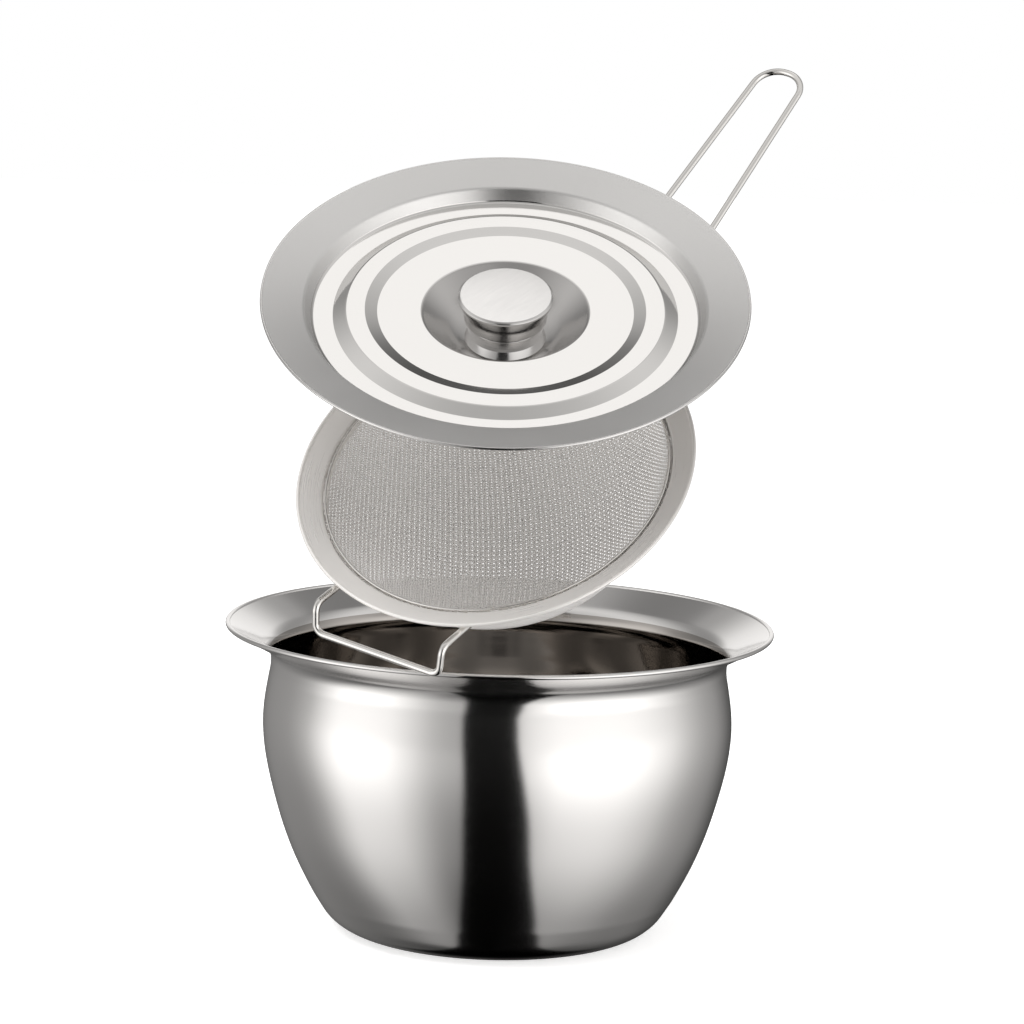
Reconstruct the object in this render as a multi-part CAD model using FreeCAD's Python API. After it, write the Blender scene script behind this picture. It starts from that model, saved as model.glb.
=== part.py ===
import FreeCAD, Part
import math
import os

from FreeCAD import Placement, Rotation, Vector

# A container for bacon grease, in millimetres: a round-bellied steel pot with a flared lip,
# a gauze strainer whose wire hook and wire handle rest on that lip, and a pressed lid that
# nests in the strainer's ring. +Z is up and the origin is the centre of the pot's base.
# The strainer and the lid are modelled about the centre of the strainer's ring, with +X along
# the handle, and are then shown lifted off the pot, one above the other.

# ---- Pot ----
POT_SHEET = 0.8
BELLY_RADIUS = 86.1
SHOULDER_INSET = 10.7       # from the belly in to the bend above the base
SHOULDER_HEIGHT = 26.8
BASE_INSET = 17.2           # from that bend in to the base's corner
BELLY_START = 66.9          # the belly is upright from here
BELLY_LENGTH = 14.6
NECK_INSET = 2.8            # from the belly in to the throat
NECK_RISE = 14.8
THROAT_LENGTH = 6.95        # from the neck's bend up to the flare's bend
BASE_BEND = 17.0
SHOULDER_BEND = 128.0
BELLY_LOW_BEND = 65.0
BELLY_HIGH_BEND = 59.0
NECK_BEND = 20.0
FLARE_BEND = 7.0
FLARE_SLOPE = 28.0          # degrees above level
FLARE_WIDTH = 16.7          # from the throat out to the lip
LIP_BEAD = 0.85             # radius of the curled edge

# ---- Strainer ring, gauze and the ring that clamps it ----
RING_RADIUS = 70.6
RING_SHEET = 0.6
RING_BEAD = 0.7             # radius of the curled edge
BAND_WIDTH = 7.5            # from the middle of the curled edge in to the skirt
BAND_SLOPE = 21.0           # degrees below level, inwards
BAND_BEND = 1.0
SKIRT_DEPTH = 7.2           # below the middle of the curled edge
GAUZE_THICKNESS = 0.5
GAUZE_DEPTH = 50.3
GAUZE_COLLAR = 2.6          # height of the gauze's upright edge
CLAMP_SHEET = 0.9
CLAMP_TOP = 2.7             # below the middle of the curled edge
CLAMP_HEIGHT = 2.0
CLAMP_GAP = 0.05            # between the skirt, the gauze and the clamping ring

# ---- Wire handle and wire hook ----
WIRE_RADIUS = 1.2
WELD_GAP = 0.05             # between a wire's foot and the skirt
HANDLE_LENGTH = 205.0       # from the ring's centre to the loop's far end
HANDLE_SLOPE = 4.75         # degrees above the ring
HANDLE_HEIGHT = -2.9        # where the wires pass the ring's edge
HANDLE_FOOT_DROP = 3.2
HANDLE_HALF_WIDTH = 13.75   # where the wires pass the ring's edge
HANDLE_TAPER = 1.95         # degrees that each wire leans inwards
HANDLE_BEND = 9.0
HOOK_HALF_WIDTH = 25.6
HOOK_BAR_HALF_WIDTH = 25.0
HOOK_TOP_OUT = 6.4          # outside the ring
HOOK_TOP_HEIGHT = 1.6
HOOK_BAR_OUT = 11.3         # outside the ring
HOOK_BAR_DROP = 7.6
HOOK_FOOT_DROP = 6.5
HOOK_BEND = 3.5
HOOK_TURN = 2.25            # degrees about the ring's axis, from straight opposite the handle

# ---- Lid, measured from the underside of its flat disc ----
LID_SHEET = 0.7
LID_RADIUS = 85.0
LID_NEST_INSET = 2.2        # from the ring's curled edge in to the lid's step
LID_STEP_WIDTH = 2.5
LID_STEP_HEIGHT = 4.75
LID_FLANGE_RISE = 2.95
LID_HEM = 2.0               # width of the folded edge
OUTER_FLAT = 8.0
OUTER_RAMP = 4.4
OUTER_DROP = 1.4
RAISED_FLAT = 6.4
INNER_RAMP = 4.3
INNER_RISE = 1.0
DISH_TOP_RADIUS = 29.2
DISH_FLOOR_RADIUS = 17.1
DISH_DEPTH = 11.35
LID_BEND = 1.2
LID_SEAT_GAP = 0.35         # between the lid and the ring that it nests in

# ---- Knob ----
KNOB_RADIUS = 16.6
KNOB_HEIGHT = 9.7
KNOB_RIM = 0.7              # bevel round the top
KNOB_WAIST_RADIUS = 14.5
KNOB_HOLLOW = 0.8           # how far its side curves in
NECK_GROOVE = 1.1
NECK_GROOVE_RADIUS = 11.0
COLLAR_RADIUS = 13.1
COLLAR_WAIST_RADIUS = 12.2
COLLAR_FOOT_RADIUS = 14.4
COLLAR_HEIGHT = 8.3
COLLAR_HEAD = 3.2
COLLAR_FOOT = 2.4
SCREW_RADIUS = 2.0
SCREW_REACH = 6.0           # into the knob
SCREW_HEAD_RADIUS = 4.0
SCREW_HEAD_HEIGHT = 2.4
SCREW_HOLE_GAP = 0.2
SCREW_THREAD_GAP = 0.03
WASHER_RADIUS = 5.5
WASHER_THICKNESS = 1.0

# ---- How the strainer sits, and how it and the lid are shown lifted ----
HANDLE_AZIMUTH = 63.6       # degrees from +X
SEAT_INSET = 7.65           # the hook's bar lands this far in from the lip
SEAT_GAP = 1.2              # between the wires and the lip
LIFT_AXIS_OUT = 15.5        # outside the lip, on the hook's side
LIFT_AXIS_DROP = 28.8       # below the lip
LIFT_AXIS_YAW = 12.8        # degrees, from square to the handle
LIFT_AXIS_DIP = 12.35       # degrees below level
LIFT_ANGLE = 43.55
LID_AXIS_AHEAD = 56.2       # outside the ring, towards the handle
LID_AXIS_ASIDE = 87.1       # to the handle's right
LID_AXIS_DROP = 74.2        # below the ring
LID_AXIS_YAW = 75.8         # degrees, from the handle
LID_AXIS_DIP = 35.6         # degrees below the ring
LID_ANGLE = 18.05

Z_AXIS = Vector(0, 0, 1)
CENTRE = Vector(0, 0, 0)


# ---- Shapes ----
def at(radius, height):
    """A point of a section, which lies in the XZ plane."""
    return Vector(radius, 0, height)


def rise(run, degrees):
    """The height gained along a level run at a slope."""
    return run * math.tan(math.radians(degrees))


def bent_path(points, bends):
    """Straight runs through the points, with a tangent arc of the given radius at each inner one."""
    edges = []
    start = points[0]
    for before, corner, after, bend in zip(points, points[1:], points[2:], bends):
        back = (before - corner).normalize()
        ahead = (after - corner).normalize()
        half_turn = (math.pi - back.getAngle(ahead)) / 2
        end = corner
        if bend > 0:
            reach = bend * math.tan(half_turn)
            inset = bend / math.cos(half_turn) - bend
            arc_start = corner + back * reach
            middle = corner + (back + ahead).normalize() * inset
            end = corner + ahead * reach
            edges.append(Part.makeLine(start, arc_start))
            edges.append(Part.Arc(arc_start, middle, end).toShape())
        else:
            edges.append(Part.makeLine(start, corner))
        start = end
    edges.append(Part.makeLine(start, points[-1]))
    return edges


def sheet_section(points, bends, thickness):
    """The section of a bent sheet: the path, and the same path moved to its left."""
    runs = [(b - a).normalize() for a, b in zip(points, points[1:])]
    lefts = [Vector(-run.z, 0, run.x) for run in runs]
    moved = [points[0] + lefts[0] * thickness]
    moved_bends = []
    for corner, bend, before, after in zip(points[1:], bends, lefts, lefts[1:]):
        left_turn = before.cross(after).y < 0
        moved.append(corner + (before + after) * (thickness / (1 + before.dot(after))))
        moved_bends.append(max(bend - thickness, 0) if left_turn else bend + thickness)
    moved.append(points[-1] + lefts[-1] * thickness)
    edges = bent_path(points, bends)
    edges.append(Part.makeLine(points[-1], moved[-1]))
    edges += bent_path(moved[::-1], moved_bends[::-1])
    edges.append(Part.makeLine(moved[0], points[0]))
    return Part.Face(Part.Wire(edges))


def round_section(radius, height, bead):
    """The section of a curled edge."""
    return Part.Face(Part.Wire(Part.makeCircle(bead, at(radius, height), Vector(0, 1, 0))))


def polygon_section(points):
    return Part.Face(Part.makePolygon(points + points[:1]))


def revolved(section):
    return section.revolve(CENTRE, Z_AXIS, 360)


def sheet_with_edge(sheet, edge):
    """A round sheet and its curled or folded edge as one piece, from their two sections."""
    return revolved(sheet).fuse(revolved(edge)).removeSplitter()


def bent_wire(points, bends, radius):
    """A round wire along a path."""
    end = Part.makeCircle(radius, points[0], points[1] - points[0])
    return Part.Wire(bent_path(points, bends)).makePipe(Part.Face(Part.Wire(end)))


def mirrored_route(points, bends):
    """A wire's route from its left foot to its right one, from the left half of it."""
    right = [Vector(p.x, -p.y, p.z) for p in reversed(points)]
    return points + right, bends + bends[::-1]


# ---- Pot ----
shoulder_radius = BELLY_RADIUS - SHOULDER_INSET
throat_radius = BELLY_RADIUS - NECK_INSET
lip_radius = throat_radius + FLARE_WIDTH
belly_top = BELLY_START + BELLY_LENGTH
flare_height = belly_top + NECK_RISE + THROAT_LENGTH
bead_radius = lip_radius - LIP_BEAD
flare_slant = POT_SHEET / 2 / math.cos(math.radians(FLARE_SLOPE))
bead_height = flare_height + rise(bead_radius - throat_radius, FLARE_SLOPE) + flare_slant
pot_height = bead_height + LIP_BEAD


def make_pot():
    points = [
        at(0, 0),
        at(shoulder_radius - BASE_INSET, 0),
        at(shoulder_radius, SHOULDER_HEIGHT),
        at(BELLY_RADIUS, BELLY_START),
        at(BELLY_RADIUS, belly_top),
        at(throat_radius, belly_top + NECK_RISE),
        at(throat_radius, flare_height),
        at(bead_radius, bead_height - flare_slant),
    ]
    bends = [BASE_BEND, SHOULDER_BEND, BELLY_LOW_BEND, BELLY_HIGH_BEND, NECK_BEND, FLARE_BEND]
    wall = sheet_section(points, bends, POT_SHEET)
    return sheet_with_edge(wall, round_section(bead_radius, bead_height, LIP_BEAD))


# ---- Strainer: the ring's curled edge is at height 0 ----
ring_edge = RING_RADIUS - RING_BEAD
skirt_radius = ring_edge - BAND_WIDTH
band_slant = RING_SHEET / 2 / math.cos(math.radians(BAND_SLOPE))
gauze_radius = skirt_radius - RING_SHEET - CLAMP_GAP
clamp_radius = gauze_radius - GAUZE_THICKNESS - CLAMP_GAP
hook_bar_reach = RING_RADIUS + HOOK_BAR_OUT


def band_height(radius):
    """The height of the band's upper face."""
    return band_slant - rise(ring_edge - radius, BAND_SLOPE)


def make_ring():
    points = [
        at(skirt_radius, -SKIRT_DEPTH),
        at(skirt_radius, band_height(skirt_radius) - 2 * band_slant),
        at(ring_edge, -band_slant),
    ]
    band = sheet_section(points, [BAND_BEND], RING_SHEET)
    return sheet_with_edge(band, round_section(ring_edge, 0, RING_BEAD))


def make_gauze():
    """A bowl with a round bottom and a short upright collar, as thick as the woven wires."""
    collar_top = -CLAMP_TOP - CLAMP_SHEET / 2
    collar_foot = collar_top - GAUZE_COLLAR
    drop = GAUZE_DEPTH + collar_foot
    bowl = (gauze_radius**2 + drop**2) / (2 * drop)
    centre = bowl - GAUZE_DEPTH
    rims = []
    edges = []
    for inset in (0, GAUZE_THICKNESS):
        rim = gauze_radius - inset
        reach = bowl - inset
        half = math.asin(rim / reach) / 2
        foot = at(rim, centre - math.sqrt(reach**2 - rim**2))
        middle = at(reach * math.sin(half), centre - reach * math.cos(half))
        edges.append(Part.Arc(at(0, centre - reach), middle, foot).toShape())
        edges.append(Part.makeLine(foot, at(rim, collar_top)))
        rims.append(at(rim, collar_top))
    edges.append(Part.makeLine(*rims))
    edges.append(Part.makeLine(at(0, -GAUZE_DEPTH), at(0, GAUZE_THICKNESS - GAUZE_DEPTH)))
    return revolved(Part.Face(Part.Wire(Part.__sortEdges__(edges))))


def make_clamp_ring():
    """A narrow ring with a rounded top, pressed in to hold the gauze against the skirt."""
    half = CLAMP_SHEET / 2
    foot = -CLAMP_TOP - CLAMP_HEIGHT
    shoulder = -CLAMP_TOP - half
    inner = clamp_radius - CLAMP_SHEET
    top = Part.Arc(at(inner, shoulder), at(inner + half, -CLAMP_TOP), at(clamp_radius, shoulder))
    sides = Part.makePolygon(
        [at(clamp_radius, shoulder), at(clamp_radius, foot), at(inner, foot), at(inner, shoulder)]
    )
    return revolved(Part.Face(Part.Wire([top.toShape()] + sides.Edges)))


def welded_to_skirt(wire):
    """A wire whose feet are cut to the skirt that they are welded to."""
    keep_out = Part.makeCylinder(
        skirt_radius + WELD_GAP, 4 * SKIRT_DEPTH, at(0, -3 * SKIRT_DEPTH), Z_AXIS
    )
    return wire.cut(keep_out)


def handle_height(reach):
    """The height of the handle's wires outside the ring."""
    return HANDLE_HEIGHT + rise(reach - RING_RADIUS, HANDLE_SLOPE)


def handle_half_width(reach):
    return HANDLE_HALF_WIDTH - rise(reach - RING_RADIUS, HANDLE_TAPER)


def make_handle():
    foot = skirt_radius - 2 * WIRE_RADIUS
    left = [
        Vector(foot, handle_half_width(foot), HANDLE_HEIGHT - HANDLE_FOOT_DROP),
        Vector(RING_RADIUS, HANDLE_HALF_WIDTH, HANDLE_HEIGHT),
        Vector(HANDLE_LENGTH, handle_half_width(HANDLE_LENGTH), handle_height(HANDLE_LENGTH)),
    ]
    points, bends = mirrored_route(left, [HANDLE_BEND, HANDLE_BEND])
    return welded_to_skirt(bent_wire(points, bends, WIRE_RADIUS))


def make_hook():
    foot = math.sqrt(skirt_radius**2 - HOOK_HALF_WIDTH**2) - 2 * WIRE_RADIUS
    left = [
        Vector(-foot, HOOK_HALF_WIDTH, -HOOK_FOOT_DROP),
        Vector(-RING_RADIUS - HOOK_TOP_OUT, HOOK_HALF_WIDTH, HOOK_TOP_HEIGHT),
        Vector(-hook_bar_reach, HOOK_BAR_HALF_WIDTH, -HOOK_BAR_DROP),
    ]
    points, bends = mirrored_route(left, [HOOK_BEND, HOOK_BEND])
    hook = welded_to_skirt(bent_wire(points, bends, WIRE_RADIUS))
    hook.rotate(CENTRE, Z_AXIS, HOOK_TURN)
    return hook


# ---- Lid: the underside of its flat disc is at height 0 ----
lid_step_radius = ring_edge - LID_NEST_INSET
dish_floor = LID_SHEET - DISH_DEPTH     # the upper face of the dish's floor
screw_hole = SCREW_RADIUS + SCREW_HOLE_GAP


def make_lid_pan():
    outer_flat = lid_step_radius - OUTER_FLAT
    raised_outer = outer_flat - OUTER_RAMP
    raised_inner = raised_outer - RAISED_FLAT
    disc_radius = raised_inner - INNER_RAMP
    step_top = LID_STEP_HEIGHT - OUTER_DROP
    points = [
        at(screw_hole, -DISH_DEPTH),
        at(DISH_FLOOR_RADIUS, -DISH_DEPTH),
        at(DISH_TOP_RADIUS, 0),
        at(disc_radius, 0),
        at(raised_inner, INNER_RISE),
        at(raised_outer, INNER_RISE),
        at(outer_flat, -OUTER_DROP),
        at(lid_step_radius, -OUTER_DROP),
        at(lid_step_radius + LID_STEP_WIDTH, step_top),
        at(LID_RADIUS, step_top + LID_FLANGE_RISE),
    ]
    bends = [LID_BEND + LID_SHEET, LID_BEND, 0, 0, 0, 0, LID_BEND + LID_SHEET, LID_BEND]
    pan = sheet_section(points, bends, LID_SHEET)
    flange = (points[-2] - points[-1]).normalize()
    hem_points = [points[-1] + flange * LID_HEM, points[-1]]
    below = Vector(-flange.z, 0, flange.x) * LID_SHEET
    hem = sheet_section([p + below for p in hem_points], [], LID_SHEET)
    return sheet_with_edge(pan, hem)


def make_knob_collar():
    top = dish_floor + COLLAR_HEIGHT
    return revolved(
        polygon_section(
            [
                at(screw_hole, dish_floor),
                at(COLLAR_FOOT_RADIUS, dish_floor),
                at(COLLAR_WAIST_RADIUS, dish_floor + COLLAR_FOOT),
                at(COLLAR_WAIST_RADIUS, top - NECK_GROOVE - COLLAR_HEAD),
                at(COLLAR_RADIUS, top - NECK_GROOVE - COLLAR_HEAD),
                at(COLLAR_RADIUS, top - NECK_GROOVE),
                at(NECK_GROOVE_RADIUS, top - NECK_GROOVE),
                at(NECK_GROOVE_RADIUS, top),
                at(screw_hole, top),
            ]
        )
    )


def make_knob_cap():
    """A solid cap with a bevelled rim and a hollow-curved side that narrows downwards."""
    foot = dish_floor + COLLAR_HEIGHT
    top = foot + KNOB_HEIGHT
    thread = SCREW_RADIUS + SCREW_THREAD_GAP
    rim_foot = at(KNOB_RADIUS, top - 2 * KNOB_RIM)
    waist = at(KNOB_WAIST_RADIUS, foot)
    hollow = (rim_foot + waist) / 2 - at(KNOB_HOLLOW, 0)
    outline = Part.makePolygon(
        [
            waist,
            at(thread, foot),
            at(thread, foot + SCREW_REACH),
            at(0, foot + SCREW_REACH + SCREW_RADIUS),
            at(0, top),
            at(KNOB_RADIUS - KNOB_RIM, top),
            at(KNOB_RADIUS, top - KNOB_RIM),
            rim_foot,
        ]
    )
    side = Part.Arc(rim_foot, hollow, waist).toShape()
    return revolved(Part.Face(Part.Wire(outline.Edges + [side])))


def make_washer():
    outer = Part.makeCylinder(WASHER_RADIUS, WASHER_THICKNESS)
    washer = outer.cut(Part.makeCylinder(screw_hole, WASHER_THICKNESS))
    washer.translate(at(0, -DISH_DEPTH - WASHER_THICKNESS))
    return washer


def make_screw():
    """A dome-headed screw, driven up through the washer, the dish and the collar."""
    head_top = -DISH_DEPTH - WASHER_THICKNESS
    head_foot = head_top - SCREW_HEAD_HEIGHT
    tip = dish_floor + COLLAR_HEIGHT + SCREW_REACH
    crown = SCREW_HEAD_RADIUS * math.cos(math.radians(45))
    dome_middle = at(crown, head_foot + SCREW_HEAD_HEIGHT * (1 - math.cos(math.radians(45))))
    dome = Part.Arc(at(0, head_foot), dome_middle, at(SCREW_HEAD_RADIUS, head_top)).toShape()
    rest = Part.makePolygon(
        [
            at(SCREW_HEAD_RADIUS, head_top),
            at(SCREW_RADIUS, head_top),
            at(SCREW_RADIUS, tip),
            at(0, tip),
            at(0, head_foot),
        ]
    )
    return revolved(Part.Face(Part.Wire([dome] + rest.Edges)))


# ---- Places ----
def turn_about(point, axis, degrees):
    return Placement(CENTRE, Rotation(axis, degrees), point)


def direction(azimuth, elevation):
    """The unit vector at an azimuth from +X and an elevation above level, in degrees."""
    level = math.cos(math.radians(elevation))
    x = level * math.cos(math.radians(azimuth))
    y = level * math.sin(math.radians(azimuth))
    return Vector(x, y, math.sin(math.radians(elevation)))


def seated_strainer():
    """The strainer on the lip: the hook's bar on the flare, the handle's wires over the edge."""
    bar_radius = lip_radius - SEAT_INSET
    shift = math.sqrt(bar_radius**2 - HOOK_BAR_HALF_WIDTH**2) - hook_bar_reach
    clear = WIRE_RADIUS + POT_SHEET / 2 + SEAT_GAP
    flare_top = bead_height - rise(bead_radius - bar_radius, FLARE_SLOPE)
    bar_height = flare_top + clear / math.cos(math.radians(FLARE_SLOPE))
    crossing = math.sqrt(bead_radius**2 - handle_half_width(bead_radius) ** 2) + shift
    wire_height = pot_height + WIRE_RADIUS + SEAT_GAP
    span = crossing + hook_bar_reach
    climb = (wire_height - handle_height(crossing)) - (bar_height + HOOK_BAR_DROP)
    ring_height = wire_height - handle_height(crossing) - climb * crossing / span
    level = Rotation(Vector(0, 1, 0), -math.degrees(climb / span))
    facing = Rotation(Z_AXIS, HANDLE_AZIMUTH)
    place = direction(HANDLE_AZIMUTH, 0) * -shift + Z_AXIS * ring_height
    return Placement(place, facing.multiply(level))


lift_point = direction(HANDLE_AZIMUTH, 0) * -(lip_radius + LIFT_AXIS_OUT)
lift_point = lift_point + Z_AXIS * (pot_height - LIFT_AXIS_DROP)
lift_axis = direction(HANDLE_AZIMUTH - 90 + LIFT_AXIS_YAW, -LIFT_AXIS_DIP)
strainer_place = turn_about(lift_point, lift_axis, LIFT_ANGLE).multiply(seated_strainer())

lid_seat = band_height(lid_step_radius) + LID_SEAT_GAP + OUTER_DROP
lid_axis = direction(LID_AXIS_YAW, -LID_AXIS_DIP)
lid_axis_point = Vector(RING_RADIUS + LID_AXIS_AHEAD, -LID_AXIS_ASIDE, -LID_AXIS_DROP)
lid_lift = turn_about(lid_axis_point, lid_axis, LID_ANGLE)
lid_place = strainer_place.multiply(lid_lift).multiply(Placement(at(0, lid_seat), Rotation()))

# ---- Pieces ----
pieces = {
    "pot_body": (make_pot(), Placement()),
    "strainer_rim": (make_ring(), strainer_place),
    "strainer_mesh": (make_gauze(), strainer_place),
    "strainer_clamp_ring": (make_clamp_ring(), strainer_place),
    "strainer_handle": (make_handle(), strainer_place),
    "strainer_hook": (make_hook(), strainer_place),
    "lid_pan": (make_lid_pan(), lid_place),
    "knob_collar": (make_knob_collar(), lid_place),
    "knob_cap": (make_knob_cap(), lid_place),
    "knob_washer": (make_washer(), lid_place),
    "knob_screw": (make_screw(), lid_place),
}

os.makedirs("parts", exist_ok=True)
for node, (shape, place) in pieces.items():
    piece = shape.Solids[0]
    piece.Placement = place.multiply(piece.Placement)
    piece.exportStep(f"parts/{node}.step")
    print(node, "volume", round(piece.Volume), "mm3")
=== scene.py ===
# %% [markdown]
# # A bacon grease pot, its strainer and its lid
# The engineering model is already made: every piece has its real size and its place, and the
# moving pieces know how they move. This lesson dresses it. The pieces of sheet steel, the knob
# and the gauze are modelled again with smooth surfaces, exactly where the engineering model has
# them, and ride on the same moving bodies. The other pieces keep their shape, and every piece
# gets the right finish.

# %% Load the engineering model
import math

import bpy
import numpy as np
from mathutils import Matrix, Vector


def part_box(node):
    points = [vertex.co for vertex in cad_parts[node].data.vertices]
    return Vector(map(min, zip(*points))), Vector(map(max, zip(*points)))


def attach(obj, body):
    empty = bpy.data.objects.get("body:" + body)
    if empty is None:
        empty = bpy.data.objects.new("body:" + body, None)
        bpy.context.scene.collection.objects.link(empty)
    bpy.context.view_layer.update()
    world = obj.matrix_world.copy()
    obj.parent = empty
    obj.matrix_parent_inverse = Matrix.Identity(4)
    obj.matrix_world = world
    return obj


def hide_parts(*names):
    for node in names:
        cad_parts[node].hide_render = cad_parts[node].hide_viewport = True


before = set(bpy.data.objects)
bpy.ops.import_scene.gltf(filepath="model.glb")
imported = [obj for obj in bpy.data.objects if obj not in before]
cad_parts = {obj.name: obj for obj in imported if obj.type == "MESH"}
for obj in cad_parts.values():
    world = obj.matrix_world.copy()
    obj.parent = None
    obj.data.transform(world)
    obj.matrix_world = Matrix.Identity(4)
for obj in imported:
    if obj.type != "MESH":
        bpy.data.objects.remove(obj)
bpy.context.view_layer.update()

MM = 0.001
print("nodes:", sorted(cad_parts))

# %% [markdown]
# Operators act on whatever is selected, as they do when modelling by hand. These small helpers
# start each step with nothing selected, and go in and out of edit mode.


# %% Helpers for selection and edit mode
def select_only(*objects):
    if bpy.context.object and bpy.context.object.mode != "OBJECT":
        bpy.ops.object.mode_set(mode="OBJECT")
    bpy.ops.object.select_all(action="DESELECT")
    for obj in objects:
        obj.select_set(True)
    bpy.context.view_layer.objects.active = objects[0] if objects else None


def enter_edit(obj, elements="VERT"):
    select_only(obj)
    bpy.ops.object.mode_set(mode="EDIT")
    bpy.ops.mesh.select_mode(type=elements)


def leave_edit():
    bpy.ops.object.mode_set(mode="OBJECT")


def edit_vertices(obj, chosen):
    """Goes into edit mode with only those vertices selected for which chosen(place) is true."""
    enter_edit(obj)
    bpy.ops.mesh.select_all(action="DESELECT")
    leave_edit()
    for vertex in obj.data.vertices:
        vertex.select = chosen(vertex.co)
    bpy.ops.object.mode_set(mode="EDIT")


def triangles(obj):
    return sum(len(polygon.vertices) - 2 for polygon in obj.data.polygons)


# %% [markdown]
# The strainer and the lid hang at an angle above the pot, so their pieces are easiest to model
# flat, about their own axis, and then to move into place. Each round piece of the engineering
# model tells where its axis is: its surface spreads least along it.


# %% Find where the strainer and the lid stand
def surface_samples(node):
    """The middle of each face of a node, and its area."""
    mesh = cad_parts[node].data
    middles = np.array([polygon.center for polygon in mesh.polygons])
    return middles, np.array([polygon.area for polygon in mesh.polygons])


def middle_of(node):
    middles, areas = surface_samples(node)
    return areas @ middles / areas.sum()


def round_place(node, below, towards, height):
    """The place of a round node: Z along its axis, away from the node below, X towards another,
    and the origin on the axis, with the node's top at the given height above it."""
    middles, areas = surface_samples(node)
    centre = middle_of(node)
    offsets = (middles - centre) * np.sqrt(areas)[:, None]
    axis = np.linalg.svd(offsets, full_matrices=False)[2][2]
    if np.dot(middle_of(below) - centre, axis) > 0:
        axis = -axis
    ahead = middle_of(towards) - centre
    ahead -= axis * np.dot(ahead, axis)
    ahead /= np.linalg.norm(ahead)
    corners = np.array([vertex.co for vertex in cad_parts[node].data.vertices])
    centre += axis * (np.max((corners - centre) @ axis) - height)
    place = Matrix(np.array([ahead, np.cross(axis, ahead), axis]).T).to_4x4()
    place.translation = Vector(centre)
    return place


RING_BEAD = 0.7 * MM            # half the thickness of the ring's curled edge
LID_EDGE_HEIGHT = 6.99 * MM     # the lid's rim above the underside of its flat disc
ring_place = round_place("strainer_rim", "strainer_mesh", "strainer_handle", RING_BEAD)
lid_place = round_place("lid_pan", "knob_screw", "strainer_handle", LID_EDGE_HEIGHT)
print("ring centre", [round(c / MM, 1) for c in ring_place.translation])
print("lid centre", [round(c / MM, 1) for c in lid_place.translation])

# %% [markdown]
# The camera looks slightly down at the pot through a long lens, so that round pieces keep their
# shape, and it is rolled by a degree and a half.

# %% Place the camera
CAMERA_TARGET = Vector((3.34, 0, 154.07)) * MM
CAMERA_DISTANCE = 1.4
CAMERA_ELEVATION = math.radians(8.61)
CAMERA_ROLL = math.radians(1.53)
CAMERA_LENS = 135.3
SENSOR_WIDTH = 36.0             # millimetres, as the lens
FARTHEST = 20.0                 # metres; nothing beyond is shown

forward = Vector((0, math.cos(CAMERA_ELEVATION), -math.sin(CAMERA_ELEVATION)))
upward = Vector((0, math.sin(CAMERA_ELEVATION), math.cos(CAMERA_ELEVATION)))
sideways = Vector((1, 0, 0))
right = sideways * math.cos(CAMERA_ROLL) + upward * math.sin(CAMERA_ROLL)
up = upward * math.cos(CAMERA_ROLL) - sideways * math.sin(CAMERA_ROLL)
bpy.ops.object.camera_add()
camera = bpy.context.object
camera.matrix_world = Matrix((right, up, -forward)).transposed().to_4x4()
camera.location = CAMERA_TARGET - forward * CAMERA_DISTANCE
camera.data.lens = CAMERA_LENS
camera.data.sensor_width = SENSOR_WIDTH
camera.data.clip_end = FARTHEST
bpy.context.scene.camera = camera
bpy.context.scene.view_settings.view_transform = "Standard"
print("camera at", [round(c, 3) for c in camera.location])

# %% [markdown]
# ## Stage and light
# Polished steel has no colour of its own: it shows the room. So the room matters more than the
# lamps. The world is white where the camera sees it, and the steel sees a studio: two tall soft
# boxes left and right, a black flag between them where the camera stands, a white wall behind, a
# grey ceiling with a small soft box in it, and a floor that gets darker towards the pot. The
# black flag gives the stripe on the pot's front, and it reaches down to the floor, so the stripe
# keeps its width down to the base.


# %% Helpers for node trees
def add_node(tree, kind, inputs=None, **settings):
    """Adds a node, with its settings, its input values and its incoming links."""
    node = tree.nodes.new(kind)
    for name, value in settings.items():
        setattr(node, name, value)
    for name, value in (inputs or {}).items():
        if isinstance(value, bpy.types.NodeSocket):
            tree.links.new(value, node.inputs[name])
        else:
            node.inputs[name].default_value = value
    return node


def math_node(tree, operation, *values):
    node = add_node(tree, "ShaderNodeMath", dict(enumerate(values)), operation=operation)
    return node.outputs[0]


def product(tree, *factors):
    result = factors[0]
    for factor in factors[1:]:
        result = math_node(tree, "MULTIPLY", result, factor)
    return result


def one_minus(tree, value):
    return math_node(tree, "SUBTRACT", 1.0, value)


def grey_ramp(tree, value, stops):
    """A smooth ramp from (position, brightness) stops."""
    node = add_node(tree, "ShaderNodeValToRGB", {"Fac": value})
    ramp = node.color_ramp
    ramp.interpolation = "B_SPLINE"
    while len(ramp.elements) < len(stops):
        ramp.elements.new(1.0)
    for element, (position, brightness) in zip(ramp.elements, stops):
        element.position = position
        element.color = (brightness, brightness, brightness, 1)
    return node.outputs["Color"]


# %% [markdown]
# The studio is written down as a few short lists, which are easy to change: how bright it is round
# the compass, how much of that is left at each height, and how bright the ceiling is from front to
# back. A flag is a sheet of black cloth that is hung up in a studio to be reflected.

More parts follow.
